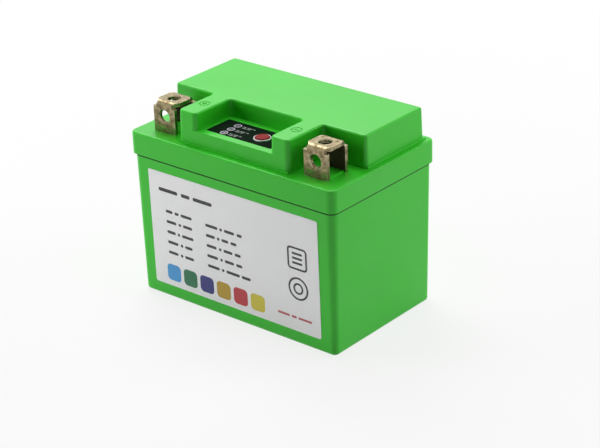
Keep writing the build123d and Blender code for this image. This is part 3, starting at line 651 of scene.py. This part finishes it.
def framed_list(left, bottom):
    """A rounded frame round a column of short bars."""
    inner_size = LIST_SIZE - 2 * MARK_LINE
    outer = rectangle(left, bottom, LIST_SIZE, LIST_SIZE, 2 * MARK_LINE)
    inner = rectangle(left + MARK_LINE, bottom + MARK_LINE, inner_size, inner_size, MARK_LINE)
    shapes = [(outer, inner)]
    for row in range(LIST_BARS):
        foot = bottom + LIST_BAR_FOOT + LIST_BAR_PITCH * row
        shapes.append(
            rectangle(left + LIST_BAR_INSET, foot, LIST_BAR_LENGTH, LIST_BAR_HEIGHT, LIST_BAR_ROUNDING)
        )
    return shapes


def target(u, v):
    """Two rings round one middle."""
    return [(circle(u, v, radius), circle(u, v, radius - MARK_LINE)) for radius in TARGET_RADII]


# ---------------------------------------------------------------- print on the front label
label_points = [vertex.co for vertex in NODES["front_label"].data.vertices]
label_low, label_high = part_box("front_label")
bottom_y = min(point.y for point in label_points if point.z < label_low.z + NEAR_FACE)
top_y = min(point.y for point in label_points if point.z > label_high.z - NEAR_FACE)
label_up = Vector((0, top_y - bottom_y, label_high.z - label_low.z)).normalized()
label_out = Vector((1, 0, 0)).cross(label_up)
label_origin = Vector((0, bottom_y, label_low.z))


def on_label(u, v, lift):
    return label_origin + MM * (u * Vector((1, 0, 0)) + v * label_up + lift * label_out)


# Millimetres on the label, from its middle and its foot
PRINT_THICKNESS = 0.03
LEFT_LINES = [(4.0, 2.4, 6.6), (6.0, 1.4, 5.4), (5.0, 1.4, 7.0), (6.4, 1.4, 4.4), (6.0, 1.4, 5.2)]
RIGHT_LINES = [
    (7.0, 1.4, 6.0, 3.0),
    (5.2, 1.4, 4.0, 3.4),
    (6.0, 1.4, 5.2, 3.4),
    (6.4, 1.4, 5.4, 3.4),
    (7.0, 1.4, 7.6, 5.0),
]
MARK_LINE = 0.9
LIST_SIZE = 10.6
LIST_BAR_INSET = 2.6
LIST_BAR_FOOT = 2.7
LIST_BAR_PITCH = 2.2
LIST_BAR_LENGTH = 5.4
LIST_BAR_HEIGHT = 1.0
LIST_BAR_ROUNDING = 0.3
LIST_BARS = 3
TARGET_RADII = (5.4, 2.7)
PATCH_LEFT = -40.2
PATCH_FOOT = 2.8
PATCH_PITCH = 9.8
PATCH_SIZE = 8.0
PATCH_ROUNDING = 2.0
PATCHES = [
    ("blue", linear(70, 160, 225)),
    ("green", linear(20, 110, 70)),
    ("navy", linear(38, 42, 120)),
    ("amber", linear(190, 155, 40)),
    ("red", linear(195, 55, 62)),
    ("yellow", linear(220, 205, 70)),
]


def print_on_label(name, shapes, material):
    printed(name, shapes, on_label, PRINT_THICKNESS, material, "battery")


dark_print = words(u=-42.0, v=45.7, height=2.6, lengths=(11.4, 5.2, 11.0), gap=1.8)
dark_print += paragraph(left=-38.6, top=35.9, pitch=5.0, height=2.1, gap=1.2, lines=LEFT_LINES)
dark_print += paragraph(left=-15.3, top=35.5, pitch=4.9, height=2.1, gap=1.2, lines=RIGHT_LINES)
dark_print += framed_list(left=30.8, bottom=29.4)
dark_print += target(u=36.1, v=20.6)
print_on_label("label_print_dark", dark_print, ink("ink_black", (0.02, 0.02, 0.022, 1)))
red_line = words(u=24.1, v=5.8, height=1.6, lengths=(6.6, 2.8, 7.6), gap=1.0)
print_on_label("label_print_red", red_line, ink("ink_red", linear(190, 90, 95)))
for index, (colour_name, colour) in enumerate(PATCHES):
    left = PATCH_LEFT + PATCH_PITCH * index
    patch = rectangle(left, PATCH_FOOT, PATCH_SIZE, PATCH_SIZE, PATCH_ROUNDING)
    print_on_label("label_patch_" + colour_name, [patch], ink("patch_" + colour_name, colour))


# ---------------------------------------------------------------- print on the indicator overlay
# Millimetres. The ring's gap and the small print's gap are measured from the edge of a window.
OVERLAY_PRINT_THICKNESS = 0.02
RING_GAP = 0.06
RING_LINE = 0.4
SMALL_PRINT_GAP = 1.5
SMALL_PRINT_HEIGHT = 0.7
SMALL_PRINT_WORD_GAP = 0.45
# The two lines beside each window: the foot above the window's middle, and the lengths of the words
SMALL_LINES = [(0.15, (1.7, 2.8, 1.4)), (-1.0, (2.6, 1.5))]
overlay_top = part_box("indicator_overlay")[1].z
pipes_low, pipes_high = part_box("light_pipes")
led_x = (pipes_low.x + pipes_high.x) / 2 / MM
led_radius = (pipes_high.x - pipes_low.x) / 2 / MM
led_rows = [
    pipes_low.y / MM + led_radius,
    (pipes_low.y + pipes_high.y) / 2 / MM,
    pipes_high.y / MM - led_radius,
]


def on_overlay(u, v, lift):
    return Vector((u * MM, v * MM, overlay_top + lift * MM))


def print_on_overlay(name, shapes, material):
    printed(name, shapes, on_overlay, OVERLAY_PRINT_THICKNESS, material, "battery")


overlay_print = []
ring_print = []
ring_inner = led_radius + RING_GAP
small_print_left = led_x + led_radius + SMALL_PRINT_GAP
for y in led_rows:
    ring_print.append((circle(led_x, y, ring_inner + RING_LINE), circle(led_x, y, ring_inner)))
    for foot, lengths in SMALL_LINES:
        overlay_print += words(small_print_left, y + foot, SMALL_PRINT_HEIGHT, lengths, SMALL_PRINT_WORD_GAP)
print_on_overlay("overlay_print", overlay_print, ink("ink_grey", linear(150, 155, 152)))
print_on_overlay("overlay_rings", ring_print, ink("ink_silver", linear(198, 186, 205)))


# ---------------------------------------------------------------- camera
def direction(azimuth, elevation):
    """From the object outwards, with both angles in radians. Azimuth 0 is in front of the label and a quarter turn
    is to the right."""
    return Vector(
        (
            math.sin(azimuth) * math.cos(elevation),
            -math.cos(azimuth) * math.cos(elevation),
            math.sin(elevation),
        )
    )


CAMERA_AZIMUTH = math.radians(40.42)
CAMERA_ELEVATION = math.radians(25.0)
CAMERA_ROLL = math.radians(-1.887)
CAMERA_TARGET = Vector((8.1, 1.47, 35.87)) * MM
CAMERA_DISTANCE = 0.85
CAMERA_LENS = 116.19

camera = bpy.data.objects.new("camera", bpy.data.cameras.new("camera"))
bpy.context.scene.collection.objects.link(camera)
camera.data.sensor_width = 36.0
camera.data.lens = CAMERA_LENS
camera.data.clip_start = 0.05
camera.data.clip_end = 30.0
back = direction(CAMERA_AZIMUTH, CAMERA_ELEVATION)
level_right = Vector((math.cos(CAMERA_AZIMUTH), math.sin(CAMERA_AZIMUTH), 0))
level_up = back.cross(level_right)
right = level_right * math.cos(CAMERA_ROLL) + level_up * math.sin(CAMERA_ROLL)
up = back.cross(right)
camera.matrix_world = Matrix.Translation(CAMERA_TARGET + CAMERA_DISTANCE * back) @ Matrix(
    (right, up, back)
).transposed().to_4x4()
bpy.context.scene.camera = camera


# ---------------------------------------------------------------- floor, world and lights
def backdrop_share(tree):
    """1 for the rays that should see the plain white background: camera, glossy and transmission rays."""
    path = shader_node(tree, "LightPath")
    share = path.outputs["Is Camera Ray"]
    for output in ("Is Glossy Ray", "Is Transmission Ray"):
        joined = shader_node(tree, "Math", {0: share, 1: path.outputs[output]}, operation="MAXIMUM")
        share = joined.outputs["Value"]
    return share


WHITE = (1, 1, 1, 1)
FLOOR_TONE = (0.8, 0.8, 0.8, 1)
FLOOR_RADIUS = 4.0
FLOOR_SEGMENTS = 96
# Share of plain white in the floor's look: near the object, where the shadow shows, and further out
FLOOR_WHITE_NEAR = 0.8
FLOOR_WHITE_FAR = 1.0
FLOOR_NEAR_RADIUS = 0.12
FLOOR_FAR_RADIUS = 0.42


def floor_white():
    """Pale floor that keeps the shadow near the object and turns to the plain background further out."""
    material = bpy.data.materials.new("floor_white")
    material.use_nodes = True
    tree = material.node_tree
    tree.nodes.clear()
    place = shader_node(tree, "TexCoord").outputs["Object"]
    reach = shader_node(tree, "VectorMath", {0: place}, operation="LENGTH").outputs["Value"]
    white = shader_node(
        tree,
        "MapRange",
        {
            "Value": reach,
            "From Min": FLOOR_NEAR_RADIUS,
            "From Max": FLOOR_FAR_RADIUS,
            "To Min": FLOOR_WHITE_NEAR,
            "To Max": FLOOR_WHITE_FAR,
        },
        interpolation_type="SMOOTHSTEP",
    ).outputs["Result"]
    amount = shader_node(tree, "Math", {0: backdrop_share(tree), 1: white}, operation="MULTIPLY")
    diffuse = shader_node(tree, "BsdfDiffuse", {"Color": FLOOR_TONE})
    glow = shader_node(tree, "Emission", {"Color": WHITE})
    blend = shader_node(
        tree,
        "MixShader",
        {"Fac": amount.outputs["Value"], 1: diffuse.outputs["BSDF"], 2: glow.outputs["Emission"]},
    )
    shader_node(tree, "OutputMaterial", {"Surface": blend.outputs["Shader"]})
    return material


floor_mesh = bpy.data.meshes.new("floor")
floor_shape = bmesh.new()
bmesh.ops.create_circle(floor_shape, cap_ends=True, radius=FLOOR_RADIUS, segments=FLOOR_SEGMENTS)
floor_shape.to_mesh(floor_mesh)
floor_shape.free()
floor = bpy.data.objects.new("floor", floor_mesh)
bpy.context.scene.collection.objects.link(floor)
floor_mesh.materials.append(floor_white())

# Strength of the light from all round on the object. The rays that see the background get 1.
AMBIENT = 0.01
world = bpy.data.worlds.new("studio")
bpy.context.scene.world = world
world.use_nodes = True
sky = world.node_tree
sky.nodes.clear()
level = shader_node(sky, "MapRange", {"Value": backdrop_share(sky), "To Min": AMBIENT, "To Max": 1.0})
background = shader_node(sky, "Background", {"Color": WHITE, "Strength": level.outputs["Result"]})
shader_node(sky, "OutputWorld", {"Surface": background.outputs["Background"]})

# The middle of the object, at which the lamps are aimed
LAMP_AIM = Vector((0, 0, 45 * MM))


def softbox(name, azimuth, elevation, distance, size, power, in_gloss=True):
    """Square area light aimed at the middle of the object, with its angles in degrees. A low one is kept out of
    glossy reflections, so that the flat top has no glare at its own angle."""
    lamp = bpy.data.lights.new(name, "AREA")
    lamp.shape = "SQUARE"
    lamp.size = size
    lamp.energy = power
    holder = bpy.data.objects.new(name, lamp)
    bpy.context.scene.collection.objects.link(holder)
    outwards = direction(math.radians(azimuth), math.radians(elevation))
    holder.location = LAMP_AIM + distance * outwards
    holder.rotation_mode = "QUATERNION"
    holder.rotation_quaternion = outwards.to_track_quat("Z", "Y")
    holder.visible_glossy = in_gloss


softbox("softbox_top", azimuth=180, elevation=80, distance=1.0, size=0.6, power=2.5)
softbox("softbox_left_rear", azimuth=-125, elevation=55, distance=0.8, size=0.5, power=4.2)
softbox("softbox_front", azimuth=-55, elevation=16, distance=0.7, size=0.36, power=2.8, in_gloss=False)
softbox("softbox_right", azimuth=105, elevation=35, distance=1.0, size=0.6, power=1.2)
softbox("softbox_right_rear", azimuth=140, elevation=16, distance=0.8, size=0.4, power=2.9, in_gloss=False)

bpy.context.scene.view_settings.view_transform = "Standard"
